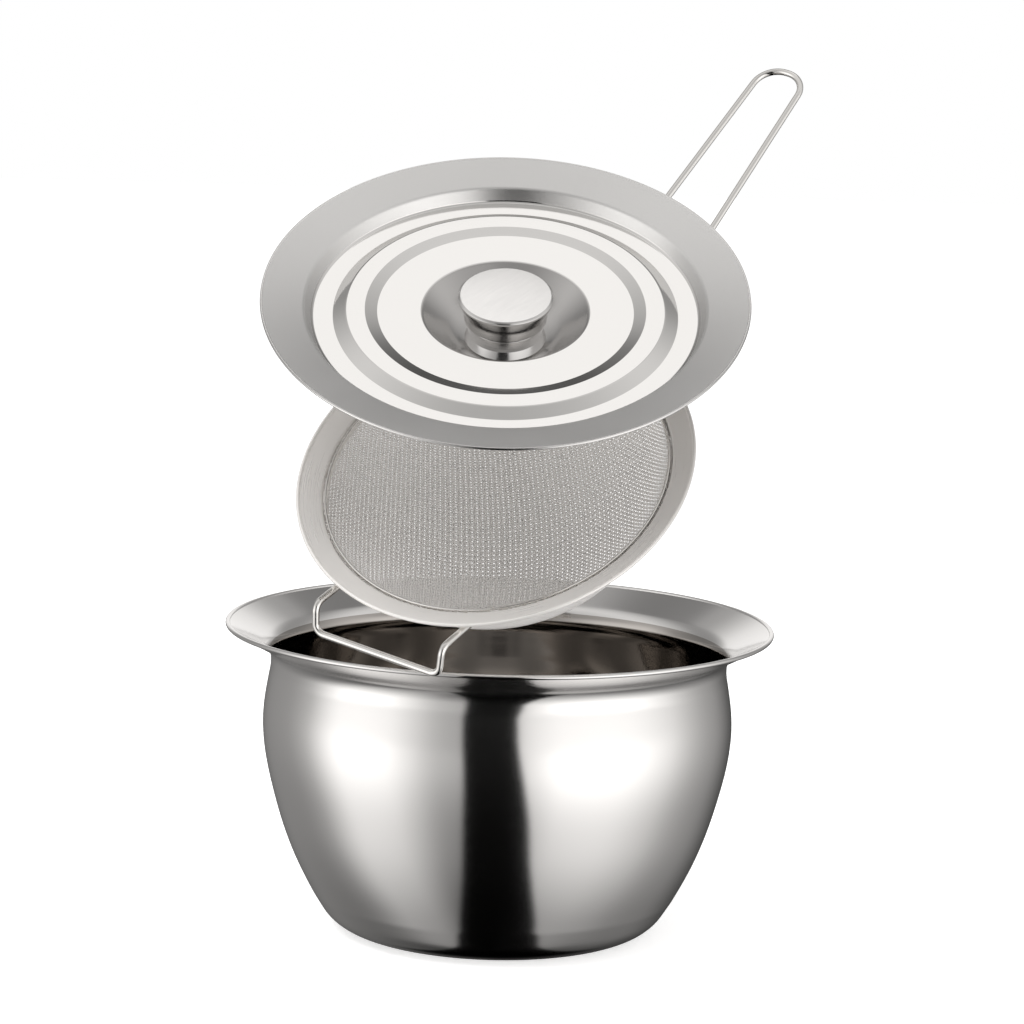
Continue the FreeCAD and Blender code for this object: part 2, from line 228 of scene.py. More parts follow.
# %% Describe the studio that the steel reflects
# Azimuth in degrees from the camera, positive to the right, and how bright the studio is there:
# the walls above the level of the pot, and the floor that leads to them.
WALLS = [
    (-180, 0.95), (-162, 0.95), (-154, 0.45), (-144, 0.25), (-126, 0.25), (-104, 0.38),
    (-92, 0.85), (-82, 1.1), (-54, 1.1), (-38, 0.65), (-26, 0.42), (-12, 0.36), (6, 0.5),
    (16, 0.9), (32, 1.15), (68, 1.15), (96, 0.7), (118, 0.35), (134, 0.28), (146, 0.28),
    (156, 0.5), (164, 0.95), (180, 0.95),
]
FLOOR = [
    (-180, 0.06), (-168, 0.14), (-150, 0.26), (-122, 0.28), (-106, 0.42), (-94, 0.85),
    (-82, 1.35), (-56, 1.35), (-40, 0.78), (-28, 0.5), (-12, 0.4), (6, 0.45), (16, 0.85),
    (34, 1.5), (66, 1.5), (94, 0.8), (114, 0.42), (134, 0.3), (150, 0.14), (166, 0.05),
    (180, 0.06),
]
BRIGHTEST = 1.5                             # a ramp holds no value above 1
HORIZON = (-0.07, 0.05)                     # where the floor turns into the walls
# Elevation in degrees, and the share of the brightness that is left there.
WALL_SHARE = [
    (-90, 0.1), (-64, 0.24), (-50, 0.42), (-38, 0.6), (-26, 0.8), (-14, 1.0), (17, 1.0),
    (30, 0.0),
]
CEILING_SHARE = [(17, 0.0), (30, 1.0)]
# How far back, from -1 in front to 1 behind, and how bright the ceiling is there.
CEILING = [
    (-1, 0.36), (-0.6, 0.37), (-0.15, 0.68), (0.15, 0.68), (0.42, 0.44), (0.6, 0.26), (1, 0.28),
]
OVERHEAD = Vector((-0.02, 0.337, 0.942))    # towards the soft box overhead
OVERHEAD_ANGLES = (7.5, 10.5)               # degrees: full brightness inside, none outside
FLAG_LEFT = (0.275, 0.06)                   # its left edge at the horizon, and how it leans in
FLAG_RIGHT = (0.19, -0.11)                  # the same for its right edge
FLAG_EDGE = 0.012                           # half the width of its soft edge
FLAG_DARKNESS = 0.99
FLAG_TOP = (0.34, 0.40)                     # it fades out between these heights
FLAG_BACK = (0.55, 0.8)                     # and between these distances behind the pot
# Dark gaps between the overhead box and the wall behind: half width, soft edge and darkness.
GAPS = ((0.36, 0.08, 0.45), (0.13, 0.05, 0.8))
GAP_HEIGHTS = (0.58, 0.84)
GAP_DEPTHS = (0.4, 0.6)                     # they fade in between these distances
GAP_EDGE = 0.04                             # half the width of their soft ends
STUDIO_TINT = (1, 0.985, 0.97, 1)           # a little warm
PLAIN_TINT = (1, 0.99, 0.98, 1)
PLAIN_LIGHT = 0.75                          # what falls on everything that isn't a mirror


# %% Helpers for the studio
def fade(tree, value, start, end):
    """0 before start, 1 after end, smooth between. Start may be the larger one."""
    return add_node(tree, "ShaderNodeMapRange", {"Value": value, "From Min": start,
                    "From Max": end}, interpolation_type="SMOOTHSTEP").outputs["Result"]


def band(tree, value, low, high, edge):
    """1 between low and high, 0 outside, with soft edges."""
    return product(tree, fade(tree, value, low - edge, low + edge),
                   fade(tree, value, high + edge, high - edge))


def flag_side(tree, inwards, above, edge, lean):
    """1 inside one side of the flag, whose edge leans in as it goes down."""
    slant = math_node(tree, "MULTIPLY_ADD", above, lean, edge)
    return fade(tree, math_node(tree, "ADD", inwards, slant), -FLAG_EDGE, FLAG_EDGE)


# %% [markdown]
# The world's shader is given the direction that a reflected ray looks in. Its X and Y give the
# azimuth and its Z the height, and the lists above turn those into the brightness of the walls
# and the floor.

# %% Paint the walls and the floor
world = bpy.data.worlds.new("studio")
bpy.context.scene.world = world
world.use_nodes = True
tree = world.node_tree
tree.nodes.clear()
look = add_node(tree, "ShaderNodeTexCoord").outputs["Generated"]
parts = add_node(tree, "ShaderNodeSeparateXYZ", {0: look})
aside, behind, above = (parts.outputs[axis] for axis in "XYZ")
azimuth = math_node(tree, "ARCTAN2", aside, math_node(tree, "MULTIPLY", behind, -1.0))
turn = math_node(tree, "MULTIPLY_ADD", azimuth, 0.5 / math.pi, 0.5)
wall_light = grey_ramp(tree, turn, [(a / 360 + 0.5, b / BRIGHTEST) for a, b in WALLS])
floor_light = grey_ramp(tree, turn, [(a / 360 + 0.5, b / BRIGHTEST) for a, b in FLOOR])
round_light = add_node(tree, "ShaderNodeMix", {"Factor": fade(tree, above, *HORIZON),
                       "A": floor_light, "B": wall_light}, data_type="RGBA").outputs["Result"]
level = math_node(tree, "MULTIPLY_ADD", math_node(tree, "ARCSINE", above), 1 / math.pi, 0.5)
wall_share = grey_ramp(tree, level, [(a / 180 + 0.5, b) for a, b in WALL_SHARE])
walls = product(tree, round_light, BRIGHTEST, wall_share)
print("walls and floor painted from", len(WALLS) + len(FLOOR), "stops")

# %% [markdown]
# The ceiling starts where the walls end. It is brightest above the pot, and behind the overhead
# box it has two dark gaps, a narrow one inside a wide one.

# %% Paint the ceiling
depth = math_node(tree, "MULTIPLY_ADD", behind, 0.5, 0.5)
ceiling = grey_ramp(tree, depth, [(b / 2 + 0.5, c) for b, c in CEILING])
gap_height = product(tree, fade(tree, behind, *GAP_DEPTHS),
                     band(tree, above, *GAP_HEIGHTS, GAP_EDGE))
for half_width, edge, darkness in GAPS:
    gap = product(tree, gap_height, band(tree, aside, -half_width, half_width, edge), darkness)
    ceiling = product(tree, ceiling, one_minus(tree, gap))
ceiling_share = grey_ramp(tree, level, [(a / 180 + 0.5, b) for a, b in CEILING_SHARE])
ceiling = product(tree, ceiling, ceiling_share)
print("ceiling painted with", len(GAPS), "gaps")

# %% [markdown]
# The flag darkens what is behind it, and the soft box overhead goes on top. Its round spot is
# found from the angle between the ray and the box.

# %% Hang the flag and the soft box
flag = product(tree, FLAG_DARKNESS, flag_side(tree, aside, above, *FLAG_LEFT),
               flag_side(tree, math_node(tree, "MULTIPLY", aside, -1.0), above, *FLAG_RIGHT),
               fade(tree, above, *FLAG_TOP[::-1]), fade(tree, behind, *FLAG_BACK[::-1]))
facing = add_node(tree, "ShaderNodeVectorMath", {0: look, 1: OVERHEAD.normalized()},
                  operation="DOT_PRODUCT").outputs["Value"]
inner, outer = (math.cos(math.radians(angle)) for angle in OVERHEAD_ANGLES)
soft_box = fade(tree, facing, outer, inner)
room = product(tree, math_node(tree, "ADD", walls, ceiling), one_minus(tree, flag))
studio = math_node(tree, "MAXIMUM", room, soft_box)
tinted = add_node(tree, "ShaderNodeMix", {"Factor": 1.0, "A": studio, "B": STUDIO_TINT},
                  data_type="RGBA", blend_type="MULTIPLY").outputs["Result"]
print("studio has", len(tree.nodes), "nodes")

# %% [markdown]
# Only reflected rays see this studio. The camera sees plain white, and everything else gets even,
# slightly warm light.

# %% Show the studio to reflected rays only
light_path = add_node(tree, "ShaderNodeLightPath")
plain = add_node(tree, "ShaderNodeBackground", {"Color": PLAIN_TINT, "Strength": PLAIN_LIGHT})
seen = add_node(tree, "ShaderNodeBackground", {"Color": (1, 1, 1, 1), "Strength": 1.0})
mirrored = add_node(tree, "ShaderNodeBackground", {"Color": tinted, "Strength": 1.0})
mix_glossy = add_node(tree, "ShaderNodeMixShader", {0: light_path.outputs["Is Glossy Ray"],
                      1: plain.outputs[0], 2: mirrored.outputs[0]})
mix_camera = add_node(tree, "ShaderNodeMixShader", {0: light_path.outputs["Is Camera Ray"],
                      1: mix_glossy.outputs[0], 2: seen.outputs[0]})
add_node(tree, "ShaderNodeOutputWorld", {"Surface": mix_camera.outputs[0]})
print("the steel sees the studio, the camera sees white")

# %% [markdown]
# The pot stands on a white floor that keeps its soft shadow. For the camera alone the floor also
# glows a little, so that it meets the white behind it without a line. One broad lamp high on the
# left front gives that shadow and lights the gauze and the ring under the lid.

# %% Lay the floor and hang a soft lamp
FLOOR_SIZE = 8.0
FLOOR_GREY = (0.86, 0.86, 0.86, 1)
FLOOR_GLOW = 0.55
LAMP_PLACE = (-0.6, -0.4, 1.4)
LAMP_POWER = 18.0
LAMP_SIZE = 1.2
bpy.ops.mesh.primitive_plane_add(size=FLOOR_SIZE)
floor = bpy.context.object
floor.name = "floor"
floor.visible_glossy = False
material = bpy.data.materials.new("white_floor")
material.use_nodes = True
tree = material.node_tree
tree.nodes.clear()
paint = add_node(tree, "ShaderNodeBsdfDiffuse", {"Color": FLOOR_GREY})
glow = add_node(tree, "ShaderNodeEmission", {"Color": (1, 1, 1, 1), "Strength": FLOOR_GLOW})
both = add_node(tree, "ShaderNodeAddShader", {0: paint.outputs[0], 1: glow.outputs[0]})
ray = add_node(tree, "ShaderNodeLightPath")
shown = add_node(tree, "ShaderNodeMixShader", {0: ray.outputs["Is Camera Ray"],
                 1: paint.outputs[0], 2: both.outputs[0]})
add_node(tree, "ShaderNodeOutputMaterial", {"Surface": shown.outputs[0]})
floor.data.materials.append(material)
bpy.ops.object.light_add(type="AREA", location=LAMP_PLACE)
lamp = bpy.context.object
lamp.data.energy = LAMP_POWER
lamp.data.size = LAMP_SIZE
lamp.visible_glossy = False
print("floor and lamp placed")

# %% [markdown]
# ## Steel finishes
# All of it is stainless steel, but not all of it shines alike. Turning and polishing leave fine
# rings round each piece: under a lens they are tiny grooves, and from further off they smear
# every reflection across them. So each finish is a metal with a slightly uneven roughness and a
# bump, both from noise that is stretched round the piece. The noise reads a UV map that runs
# once round each piece and along its profile in metres.


# %% Make a steel finish
CLOUD_SCALE = 28.0              # blotches of about 35 mm
LINES_SHARE = 0.6               # the rest of the uneven roughness comes from the blotches
NOISE_RANGE = (0.3, 0.7)        # where nearly all of the noise lies
GROOVE_DEPTH = 0.02 * MM
ACROSS = 0.25                   # a quarter turn, from along the grooves to across them


def steel(name, colour, roughness, unevenness=0.03, grooves=0.2, scale=(14.0, 9000.0, 1.0),
          smear=0.0, metal=1.0, place=None):
    """A steel finish. Unevenness varies the roughness, grooves is the bump's strength, and smear
    stretches the reflections across the grooves. With a place, the noise doesn't read the rings
    map but Object coordinates, turned and centred on that place."""
    material = bpy.data.materials.new(name)
    material.use_nodes = True
    tree = material.node_tree
    tree.nodes.clear()
    spot = add_node(tree, "ShaderNodeTexCoord").outputs["Object"]
    if place is None:
        pattern = add_node(tree, "ShaderNodeUVMap", uv_map="rings").outputs["UV"]
    else:
        home = place.inverted()
        pattern = add_node(tree, "ShaderNodeMapping", {"Vector": spot,
                           "Location": home.translation, "Rotation": home.to_euler()}).outputs[0]
    stretched = add_node(tree, "ShaderNodeMapping", {"Vector": pattern, "Scale": scale})
    lines = add_node(tree, "ShaderNodeTexNoise", {"Vector": stretched.outputs[0], "Scale": 1.0,
                     "Detail": 4.0, "Roughness": 0.6}).outputs["Fac"]
    clouds = add_node(tree, "ShaderNodeTexNoise", {"Vector": spot, "Scale": CLOUD_SCALE,
                      "Detail": 3.0}).outputs["Fac"]
    mottle = math_node(tree, "ADD", math_node(tree, "MULTIPLY", lines, LINES_SHARE),
                       math_node(tree, "MULTIPLY", clouds, 1 - LINES_SHARE))
    rough = add_node(tree, "ShaderNodeMapRange", {"Value": mottle,
                     "From Min": NOISE_RANGE[0], "From Max": NOISE_RANGE[1],
                     "To Min": roughness - unevenness, "To Max": roughness + unevenness})
    bump = add_node(tree, "ShaderNodeBump", {"Height": lines, "Strength": grooves,
                    "Distance": GROOVE_DEPTH})
    shader = add_node(tree, "ShaderNodeBsdfPrincipled", {"Base Color": (*colour, 1),
                      "Metallic": metal, "Roughness": rough.outputs["Result"],
                      "Normal": bump.outputs["Normal"]})
    if smear:
        along = add_node(tree, "ShaderNodeTangent", direction_type="UV_MAP", uv_map="rings")
        tree.links.new(along.outputs["Tangent"], shader.inputs["Tangent"])
        shader.inputs["Anisotropic"].default_value = smear
        shader.inputs["Anisotropic Rotation"].default_value = ACROSS
    add_node(tree, "ShaderNodeOutputMaterial", {"Surface": shader.outputs[0]})
    print("finish", name)
    return material


# %% [markdown]
# The pot is satin outside. Inside, where it mirrors itself, it is smoother, and its colour is
# painted darker, as painted shade. The lid's flats are polished, its flange is brushed, its dish
# is duller, and the knob's top and the folded edge are rubbed. The ring and the gauze hang in the
# lid's shade, so their colour is painted paler, as painted light, and they are less like a mirror.
# Even noise, which has no direction, suits wires and turned parts.

# %% Make the finishes
EVEN = (900.0, 900.0, 900.0)            # fine noise with no direction
RUBBED = (120.0, 5000.0, 5000.0)        # fine scratches in one direction
satin = steel("satin_steel", (0.90, 0.89, 0.88), 0.13, 0.02, 0.2, smear=0.65)
# The pot's inside: the same steel, with its colour painted darker than outside, as painted shade.
mirror_painted_shade = steel("mirror_steel_painted_shade", (0.50, 0.475, 0.45), 0.06, 0.02, 0.05)
brushed = steel("brushed_steel", (0.90, 0.895, 0.885), 0.36, 0.05, 0.5, smear=0.5)
polished = steel("polished_steel", (0.90, 0.89, 0.875), 0.08, 0.02, 0.08)
dull = steel("dull_steel", (0.62, 0.61, 0.60), 0.16, 0.02, 0.02, EVEN, place=lid_place)
turned = steel("turned_steel", (0.76, 0.75, 0.74), 0.16, 0.02, 0.02, EVEN, place=lid_place)
rubbed = steel("knob_steel", (0.97, 0.96, 0.95), 0.22, 0.05, 0.4, RUBBED, place=lid_place)
# The ring: its colour is painted paler and less like a mirror, as painted light against the lid's
# shade.
pale_satin_painted_light = steel("pale_satin_steel_painted_light", (0.95, 0.925, 0.895), 0.3, 0.05, 0.3, metal=0.45)
# The gauze: its colour is painted paler and less like a mirror, as painted light against the lid's
# shade.
woven_wire_painted_light = steel("woven_wire_painted_light", (0.98, 0.96, 0.94), 0.42, 0.06, 0.0, metal=0.2)
bright_wire = steel("bright_wire", (0.95, 0.935, 0.91), 0.13, 0.04, 0.05, EVEN, place=ring_place)

# %% [markdown]
# ## How the round pieces are made
# A pressed pot or lid is turned from a disc, so it is round all over and its shape is all in
# its profile. The profile is drawn by extruding a single vertex from point to point, then spun
# round the axis. Real sheet steel has no sharp corners, so every corner of the profile is first
# replaced by a short arc with the radius that the press leaves.


# %% Round the corners of a path
def at(radius, height):
    """A point of a profile, given in millimetres."""
    return Vector((radius, 0, height)) * MM


def rounded(points, radii, steps=6):
    """The points of a path whose inner corners are arcs of the given radii."""
    points = [Vector(p) for p in points]
    path = [points[0]]
    for before, corner, after, radius in zip(points, points[1:], points[2:], radii):
        if radius == 0:
            path.append(corner)
            continue
        back = (before - corner).normalized()
        ahead = (after - corner).normalized()
        half_turn = (math.pi - back.angle(ahead)) / 2
        centre = corner + (back + ahead).normalized() * (radius / math.cos(half_turn))
        start = corner + back * (radius * math.tan(half_turn)) - centre
        end = corner + ahead * (radius * math.tan(half_turn)) - centre
        for step in range(steps + 1):
            path.append(centre + start.slerp(end, step / steps) * radius)
    path.append(points[-1])
    return path


# %% [markdown]
# Arcs have many points and straight runs only two. Where a path is to be smoothed as a whole, its
# runs first get points at even distances too.

# %% Put more points on a path
def resampled(path, spacing):
    """The path with points added to its long runs, no further apart than the spacing."""
    points = [path[0]]
    for before, after in zip(path, path[1:]):
        parts = max(1, math.ceil((after - before).length / spacing))
        points += [before.lerp(after, part / parts) for part in range(1, parts + 1)]
    return points


# %% [markdown]
# Extruding a vertex leaves an edge behind it, and spinning the edges leaves faces. The spin ends
# where it began, so the doubled seam is merged, and only then are the faces turned outwards.

# %% Draw a path and spin it
SPIN_STEPS = 192
WELD = 0.002 * MM               # vertices closer than this become one


def draw_path(name, points):
    """Draws a chain of edges by extruding one vertex from point to point."""
    select_only()
    bpy.ops.mesh.primitive_plane_add(size=MM, location=points[0])
    obj = bpy.context.object
    obj.name = name
    enter_edit(obj)
    bpy.ops.mesh.select_all(action="SELECT")
    bpy.ops.mesh.merge(type="CENTER")
    for before, after in zip(points, points[1:]):
        bpy.ops.mesh.extrude_region_move(TRANSFORM_OT_translate={"value": after - before})
    leave_edit()
    bpy.ops.object.transform_apply(location=True)
    return obj


def spin_path(obj):
    """Spins a profile in the XZ plane once round the Z axis, and closes the seam."""
    enter_edit(obj)
    bpy.ops.mesh.select_all(action="SELECT")
    bpy.ops.mesh.spin(steps=SPIN_STEPS, angle=math.tau, center=(0, 0, 0), axis=(0, 0, 1))
    bpy.ops.mesh.select_all(action="SELECT")
    bpy.ops.mesh.remove_doubles(threshold=WELD)
    bpy.ops.mesh.normals_make_consistent(inside=False)
    leave_edit()


# %% [markdown]
# The UV map follows the grooves: its U runs once round the axis, and its V, the radius plus the
# height, changes along the profile. A face that spans the seam, or touches the axis, takes its
# angles from its own middle.

# %% Lay the UV map
POLE_RADIUS = 0.05 * MM         # a vertex nearer to the axis than this has no angle of its own


def lay_rings(obj):
    """A UV map for the finishes: U once round the axis, V the radius plus the height."""
    layer = obj.data.uv_layers.new(name="rings")
    vertices = obj.data.vertices
    for polygon in obj.data.polygons:
        middle = math.atan2(polygon.center.y, polygon.center.x)
        for corner, index in zip(polygon.vertices, polygon.loop_indices):
            spot = vertices[corner].co
            radius = math.hypot(spot.x, spot.y)
            angle = math.atan2(spot.y, spot.x) if radius > POLE_RADIUS else middle
            unrolled = (angle - middle + math.pi) % math.tau - math.pi + middle
            layer.data[index].uv = (unrolled / math.tau, radius + abs(spot.z))


# %% [markdown]
# A piece may have more than one finish, and its faces choose theirs by their place and by where
# they look. Then the piece is moved to its place, smoothed, and told which body it rides on.

# %% Give a piece its finishes, its place and its body
def other_finish(obj, chosen, index=1):
    """The faces for which chosen(middle, normal) is true get another of the piece's finishes."""
    for polygon in obj.data.polygons:
        if chosen(polygon.center, polygon.normal):
            polygon.material_index = index


def finish_piece(obj, place, body, slot, *materials, angle=35.0):
    """Moves a piece into place, smooths it, and gives it its finish and its body."""
    for material in materials:
        obj.data.materials.append(material)
    obj.data.transform(place)
    obj.data.update()
    select_only(obj)
    bpy.ops.object.shade_smooth_by_angle(angle=math.radians(angle))
    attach(obj, body)
    print(obj.name, "has", triangles(obj), "triangles")


# %% [markdown]
# ## The pot
# One sheet, 0.8 mm thick: a flat base, a shoulder, a round belly, a waist and a lip that flares
# out. A path from the middle of the base up the outside of the sheet is copied inwards by the
# sheet's thickness, and the two together are the outline that is spun. The belly mirrors the
# studio, so it may have no flat spots: before it is spun, its part of the outline is smoothed by
# a fraction of a millimetre. The lip's edge is curled into a tight bead, a thin torus round the
# end of the sheet.


# %% Give a path the thickness of its sheet
BEAD_SIDES = 20


def sheet_outline(path, thickness):
    """The path, then back along the same path moved to its left by the thickness, and across the
    sheet to where it began, unless that is on the axis."""
    moved = []
    for index, point in enumerate(path):
        runs = []
        if index > 0:
            runs.append((point - path[index - 1]).normalized())
        if index < len(path) - 1:
            runs.append((path[index + 1] - point).normalized())
        lefts = [Vector((-run.z, 0, run.x)) for run in runs]
        mean = sum(lefts, Vector()).normalized()
        moved.append(point + mean * (thickness / mean.dot(lefts[0])))
    across = [path[0]] if path[0].x > 0 else []
    return path + moved[::-1] + across


def add_bead(obj, radius, bead, height):
    """Joins a torus to a sheet, round its edge."""
    select_only()
    bpy.ops.mesh.primitive_torus_add(major_radius=radius, minor_radius=bead,
                                     major_segments=SPIN_STEPS, minor_segments=BEAD_SIDES,
                                     location=(0, 0, height))
    bead_ring = bpy.context.object
    bpy.ops.object.transform_apply(location=True)
    select_only(obj, bead_ring)
    bpy.ops.object.join()


# %% Model the pot
POT_SHEET = 0.8 * MM
POT_PATH = [
    at(0, 0), at(58.2, 0), at(75.4, 26.8), at(86.1, 66.9), at(86.1, 81.5), at(83.3, 96.3),
    at(83.3, 103.25), at(99.15, 111.68),
]
POT_BENDS = [bend * MM for bend in (17, 128, 65, 59, 20, 7)]
LIP_RADIUS = 99.15 * MM
LIP_BEAD = 0.85 * MM
ARC_STEPS = 12
SIDE_SPACING = 1.5 * MM
BELLY = (14 * MM, 93 * MM)      # lowest and highest part of the side that is made smoother
BELLY_PASSES = 60
# Below the throat the inside gets the mirror finish whose darker colour is painted shade.
THROAT = 103.0 * MM             # the inside below it mirrors itself
BASE_LOOKS_UP = 0.7             # Z of the normal, at least, of the inside of the base

side = resampled(rounded(POT_PATH, POT_BENDS, ARC_STEPS), SIDE_SPACING)
pot = draw_path("pot", sheet_outline(side, POT_SHEET))
edit_vertices(pot, lambda place: BELLY[0] < place.z < BELLY[1])
bpy.ops.mesh.vertices_smooth(factor=0.5, repeat=BELLY_PASSES)
leave_edit()
spin_path(pot)
lip_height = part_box("pot_body")[1].z - LIP_BEAD
add_bead(pot, LIP_RADIUS, LIP_BEAD, lip_height)
lay_rings(pot)
# The inside and the base's inner floor get the darker colour, which is painted shade.
other_finish(pot, lambda middle, normal: middle.z < THROAT and
             (normal.z > BASE_LOOKS_UP or normal.dot(Vector((middle.x, middle.y, 0))) < 0))
finish_piece(pot, Matrix(), "pot", "steel_satin", satin, mirror_painted_shade)
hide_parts("pot_body")

# %% [markdown]
# ## The strainer's ring
# A band that slopes inwards, a skirt below it and a curled edge. It is modelled flat with its
# curled edge at height 0, and then set in the strainer's place.

# %% Model the ring
RING_SHEET = 0.6 * MM
RING_EDGE = 69.9                # millimetres, to the middle of the curled edge
RING_PATH = [at(62.4, -7.2), at(62.4, -3.201), at(RING_EDGE, -0.321)]

ring = draw_path("ring", sheet_outline(rounded(RING_PATH, [1.0 * MM]), RING_SHEET))
spin_path(ring)
add_bead(ring, RING_EDGE * MM, RING_BEAD, 0)
lay_rings(ring)
# The ring's paler colour is painted light against the lid's shade.
finish_piece(ring, ring_place, "strainer", "steel_satin", pale_satin_painted_light)
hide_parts("strainer_rim")

# %% [markdown]
# ## The lid
# Pressed from one 0.7 mm sheet: a dish in the middle for the knob, a flat disc, a raised band, a
# lower flat ring, a step that nests in the strainer's ring, and a brushed flange with a folded
# edge. The pressed ramps between the flats are what draws the rings on the lid.

# %% Model the lid's pan
LID_SHEET = 0.7 * MM
LID_PATH = [
    at(2.2, -11.35), at(17.1, -11.35), at(29.2, 0), at(44.6, 0), at(48.9, 1.0), at(55.3, 1.0),
    at(59.7, -1.4), at(67.7, -1.4), at(70.2, 3.35), at(85.0, 6.3),
]
LID_BENDS = [bend * MM for bend in (13, 1.2, 0.9, 0.9, 0.9, 0.9, 1.9, 1.2)]
LID_RADIUS = 85.0 * MM
HEM_BEAD = 0.55 * MM                # the folded edge
HEM_HEIGHT = 6.4 * MM
FLANGE = (67.9 * MM, 83.8 * MM)     # from the foot of the step to the folded edge
DISH = 29.0 * MM

lid = draw_path("lid", sheet_outline(rounded(LID_PATH, LID_BENDS), LID_SHEET))
spin_path(lid)
add_bead(lid, LID_RADIUS - HEM_BEAD, HEM_BEAD, HEM_HEIGHT)
lay_rings(lid)
other_finish(lid, lambda middle, normal: FLANGE[0] < middle.to_2d().length < FLANGE[1])
other_finish(lid, lambda middle, normal: middle.to_2d().length < DISH, 2)
other_finish(lid, lambda middle, normal: middle.to_2d().length > FLANGE[1], 3)
finish_piece(lid, lid_place, "lid", "steel_polished", polished, brushed, dull, rubbed)
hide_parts("lid_pan")

# %% [markdown]
# ## The knob
# Two turned pieces: a cap whose side is hollow and narrows downwards, with a rubbed top and a
# small bevel round it, and a stepped collar that stands in the dish. Both are spun, as the lid
# is, and keep the hole for the screw that holds them. The heights of their paths are measured,
# as the lid's are, from the underside of the lid's flat disc.

# %% Model the knob
DISH_FLOOR = -10.65
NECK = -2.35
KNOB_TOP = 7.35
RUBBED_FROM = 7.0               # the rubbed top is above this
TOP_LOOKS_UP = 0.9              # Z of the normal, at least, of the cap's top
COLLAR_HOLE = 2.2
CAP_HOLE = 2.03                 # the screw's thread fills it
CAP_PATH = [at(0, 5.65), at(CAP_HOLE, 3.65), at(CAP_HOLE, NECK), at(14.5, NECK), at(14.75, 1.8),
            at(16.6, 5.95), at(16.6, 6.65), at(15.9, KNOB_TOP), at(0, KNOB_TOP)]
CAP_BENDS = [bend * MM for bend in (0, 0, 0.3, 9, 0.3, 0.3, 0.6)]
COLLAR_PATH = [
    at(COLLAR_HOLE, NECK), at(11, NECK), at(11, -3.45), at(13.1, -3.45), at(13.1, -6.65),
    at(12.2, -6.65), at(12.2, -8.25), at(14.4, DISH_FLOOR), at(COLLAR_HOLE, DISH_FLOOR),
    at(COLLAR_HOLE, NECK),
]
COLLAR_BENDS = [bend * MM for bend in (0, 0.2, 0.4, 0.4, 0.2, 0.8, 0, 0)]

cap = draw_path("knob_cap_turned", rounded(CAP_PATH, CAP_BENDS))
spin_path(cap)
lay_rings(cap)
other_finish(cap, lambda middle, normal: normal.z > TOP_LOOKS_UP and
             middle.z > RUBBED_FROM * MM)
finish_piece(cap, lid_place, "lid", "steel_satin", turned, rubbed, angle=25.0)
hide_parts("knob_cap")
collar = draw_path("knob_collar_turned", rounded(COLLAR_PATH, COLLAR_BENDS))
spin_path(collar)
lay_rings(collar)
finish_piece(collar, lid_place, "lid", "steel_polished", turned)
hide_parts("knob_collar")

# %% [markdown]
# ## The gauze
# The strainer's bowl is woven from fine steel wire: each wire goes over one crossing wire and
# under the next. It is made as the real one is. A flat cloth is woven first, a disc is cut from
# it, and the disc is pressed into a bowl, so the wires keep their distance along the bowl but
# lean together towards the rim. Only one short run of wire is modelled; mirrors and arrays
# repeat it. A wire has four sides, which is enough for something so thin.

# %% Sizes of the cloth and the bowl
WIRE_PITCH = 0.975 * MM
WIRE_WIDTH = 0.76 * MM
WIRE_THICKNESS = 0.32 * MM
WIRE_RISE = 0.11 * MM           # how far a wire moves up or down to pass the crossing ones
PAIR_SHIFT = 0.10 * MM          # neighbouring warp wires lean together in pairs
WARP_TURN = math.radians(32.5)  # from the handle to the direction of the warp
BOWL_RADIUS = 64.82 * MM
BOWL_CENTRE = 14.77 * MM
COLLAR_RADIUS = 61.5 * MM
CLOTH_RADIUS = 83.4 * MM
PAIRS = math.ceil(CLOTH_RADIUS / WIRE_PITCH / 2)


# %% Weave parallel wires with modifiers
WIRE_WELD = 0.001 * MM


def apply_modifier(obj, kind, **settings):
    modifier = obj.modifiers.new(kind.lower(), kind)
    for name, value in settings.items():
        setattr(modifier, name, value)
    select_only(obj)
    bpy.ops.object.modifier_apply(modifier=modifier.name)


def repeat(obj, count, step):
    """Copies a mesh along a line, with the line's middle at the origin."""
    apply_modifier(obj, "ARRAY", count=count, use_relative_offset=False, use_constant_offset=True,
                   constant_offset_displace=step, use_merge_vertices=True,
                   merge_threshold=WIRE_WELD)
    obj.data.transform(Matrix.Translation(Vector(step) * (-(count - 1) / 2)))


def weave_strand(name, flip, aside):
    """One wire along X, which goes over and under. Flip swaps over and under."""
    select_only()
    bpy.ops.mesh.primitive_cylinder_add(vertices=4, radius=0.5, depth=1, end_fill_type="NOTHING",
                                        rotation=(0, math.pi / 2, 0))
    obj = bpy.context.object
    obj.name = name
    bpy.ops.object.transform_apply()
    obj.scale = (WIRE_PITCH, WIRE_WIDTH, WIRE_THICKNESS)
    obj.location = (WIRE_PITCH / 2, aside, 0)
    bpy.ops.object.transform_apply()
    edit_vertices(obj, lambda place: place.x > WIRE_PITCH / 2)
    bpy.ops.transform.translate(value=(0, 0, -2 * WIRE_RISE * flip))
    bpy.ops.mesh.select_all(action="SELECT")
    bpy.ops.transform.translate(value=(0, 0, WIRE_RISE * flip))
    leave_edit()
    apply_modifier(obj, "MIRROR", use_axis=(True, False, False), merge_threshold=WIRE_WELD)
    repeat(obj, 2 * PAIRS, (2 * WIRE_PITCH, 0, 0))
    return obj


def weave_cloth(name, flip, shift):
    """Parallel wires along X, in pairs. Shift moves the two of a pair towards each other."""
    aside = WIRE_PITCH / 2 - shift
    cloth = weave_strand(name, flip, aside)
    select_only(cloth, weave_strand("neighbour", -flip, -aside))
    bpy.ops.object.join()
    repeat(cloth, 2 * PAIRS, (0, 2 * WIRE_PITCH, 0))
    return cloth


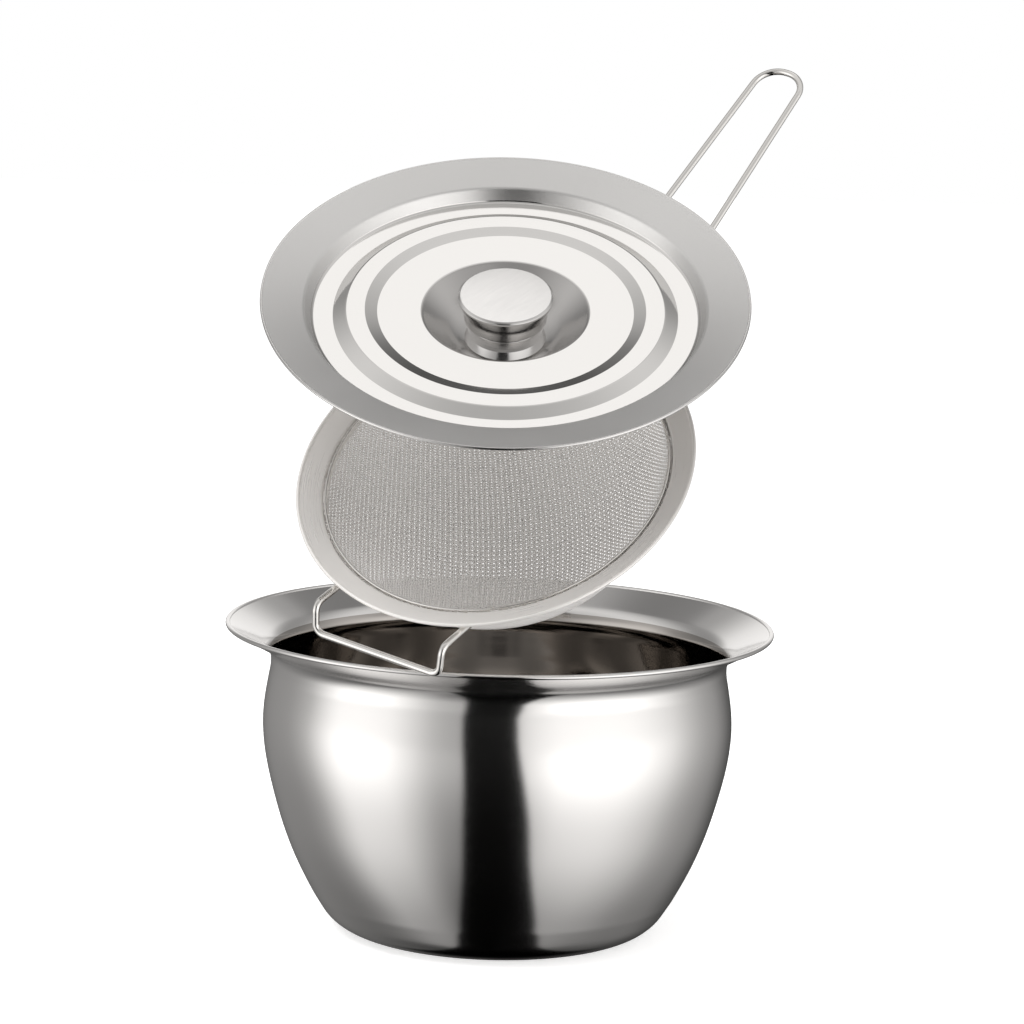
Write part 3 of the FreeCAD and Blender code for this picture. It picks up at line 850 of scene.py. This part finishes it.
# %% [markdown]
# Cloth that is pressed over a bowl keeps its length along the bowl. So each vertex moves to the
# spot that is as far from the middle, measured along the bowl, as it was in the flat cloth. Past
# the bowl's edge the cloth turns up into a short collar, which the clamp ring holds.

# %% Cut a disc and press it into a bowl
NO_ZERO = 1e-9                  # keeps the middle vertex from being divided by nothing


def press(obj):
    """Bends the flat cloth over a round bowl with a short upright collar."""
    vertices = np.empty(len(obj.data.vertices) * 3)
    obj.data.vertices.foreach_get("co", vertices)
    flat = vertices.reshape(-1, 3)
    reach = np.hypot(flat[:, 0], flat[:, 1])
    spread = np.maximum(reach, NO_ZERO)
    rim_angle = math.asin(COLLAR_RADIUS / BOWL_RADIUS)
    angle = np.minimum(reach / BOWL_RADIUS, rim_angle)
    upright = np.maximum(reach - rim_angle * BOWL_RADIUS, 0)
    outward = np.where(upright > 0, math.pi / 2, angle)
    radius = BOWL_RADIUS * np.sin(angle) - flat[:, 2] * np.sin(outward)
    height = BOWL_CENTRE - BOWL_RADIUS * np.cos(angle) + upright + flat[:, 2] * np.cos(outward)
    pressed = np.column_stack([flat[:, 0] / spread * radius, flat[:, 1] / spread * radius, height])
    obj.data.vertices.foreach_set("co", pressed.ravel())
    obj.data.update()


def cut_disc(obj):
    edit_vertices(obj, lambda place: place.to_2d().length > CLOTH_RADIUS)
    bpy.ops.mesh.delete(type="VERT")
    leave_edit()


# %% [markdown]
# The weft is the warp turned by a right angle, and it goes over where the warp goes under. Only
# the warp wires lean together in pairs.

# %% Make the warp and the weft
for name, flip, turn in (("gauze_warp", 1, WARP_TURN),
                         ("gauze_weft", -1, WARP_TURN + math.pi / 2)):
    cloth = weave_cloth(name, flip, PAIR_SHIFT if flip > 0 else 0)
    cut_disc(cloth)
    cloth.data.transform(Matrix.Rotation(turn, 4, "Z"))
    press(cloth)
    # The gauze's paler colour is painted light against the lid's shade.
    finish_piece(cloth, ring_place, "strainer", "steel_gauze", woven_wire_painted_light, angle=180.0)
    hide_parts("strainer_mesh")

# %% [markdown]
# ## The pieces that keep their shape
# The handle and the hook are bent from one thick wire each, a narrow ring clamps the gauze into
# the strainer's ring, and a washer and a screw hold the knob. Their engineering shapes are fine
# enough to be seen, so they only get a finish.

# %% Finish the nodes that keep their shape
for finish, names in ((bright_wire, ("strainer_handle", "strainer_hook", "strainer_clamp_ring")),
                      (dull, ("knob_washer", "knob_screw"))):
    for name in names:
        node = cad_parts[name]
        node.data.materials.clear()
        node.data.materials.append(finish)
        print(name, "gets", finish.name)
